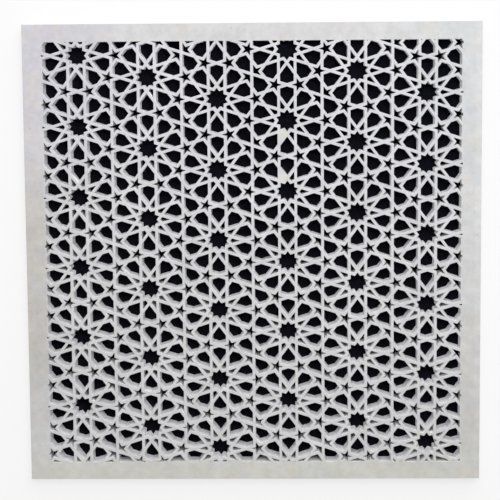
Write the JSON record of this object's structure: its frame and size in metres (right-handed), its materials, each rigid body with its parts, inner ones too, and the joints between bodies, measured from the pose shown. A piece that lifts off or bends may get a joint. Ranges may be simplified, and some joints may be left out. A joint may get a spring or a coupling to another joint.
{
  "type": "concrete lattice screen",
  "caption": "Nearly square cast concrete screen slab with a plain border, pierced right through by a lattice of straight bars in a traditional ten-pointed star pattern.",
  "frame": {"origin": "centre of the back face, on the surface that the slab lies on", "axes": "+Z through the thickness, out of the front face; +Y towards the edge that is the top when the screen stands; +X to the right as the front is looked at"},
  "size_m": [0.99, 1, 0.05],
  "materials": {
    "concrete": "cast, matt, pale grey"
  },
  "bodies": {
    "root": {"lattice_screen": "concrete"}
  },
  "joints": []
}
